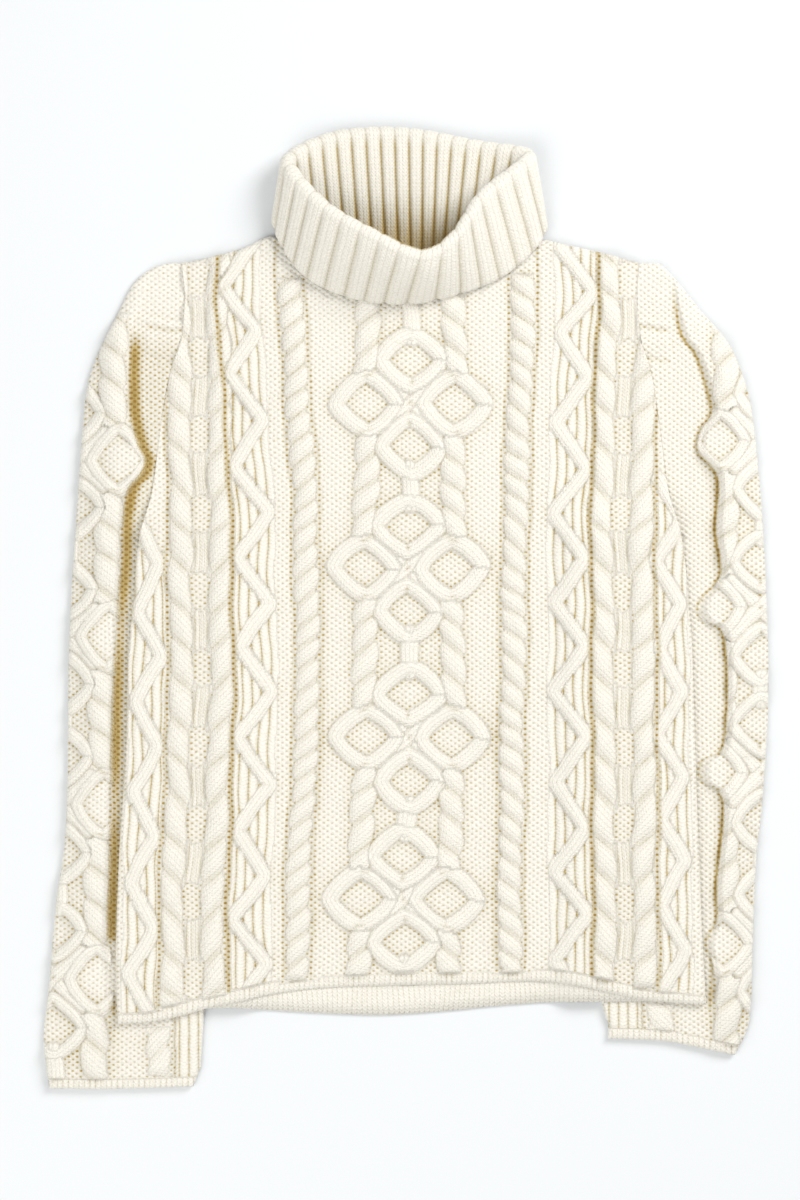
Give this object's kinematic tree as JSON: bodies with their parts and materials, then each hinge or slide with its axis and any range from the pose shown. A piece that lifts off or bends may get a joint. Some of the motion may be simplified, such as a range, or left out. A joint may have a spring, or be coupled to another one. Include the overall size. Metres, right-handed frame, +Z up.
{
  "type": "cable knit sweater",
  "caption": "Cream Aran turtleneck sweater laid flat, lattice, rope and zigzag cables, sleeves tucked beside and under the body, wide-ribbed collar folded over.",
  "frame": {"origin": "middle of the outline seen from above, at floor level", "axes": "+X to the wearer's left (right of the picture), +Y from hem to collar, +Z up from the floor through the front"},
  "size_m": [0.582, 0.7725, 0.0528],
  "materials": {
    "wool_body": "undyed cream wool, soft and matt, cable knit",
    "wool_sleeves": "undyed cream wool, soft and matt, cable knit",
    "wool_collar": "undyed cream wool, soft and matt, wide rib"
  },
  "bodies": {
    "root": {"front": "wool_body", "back": "wool_body", "sleeve_left": "wool_sleeves", "sleeve_right": "wool_sleeves", "collar": "wool_collar"}
  },
  "joints": []
}
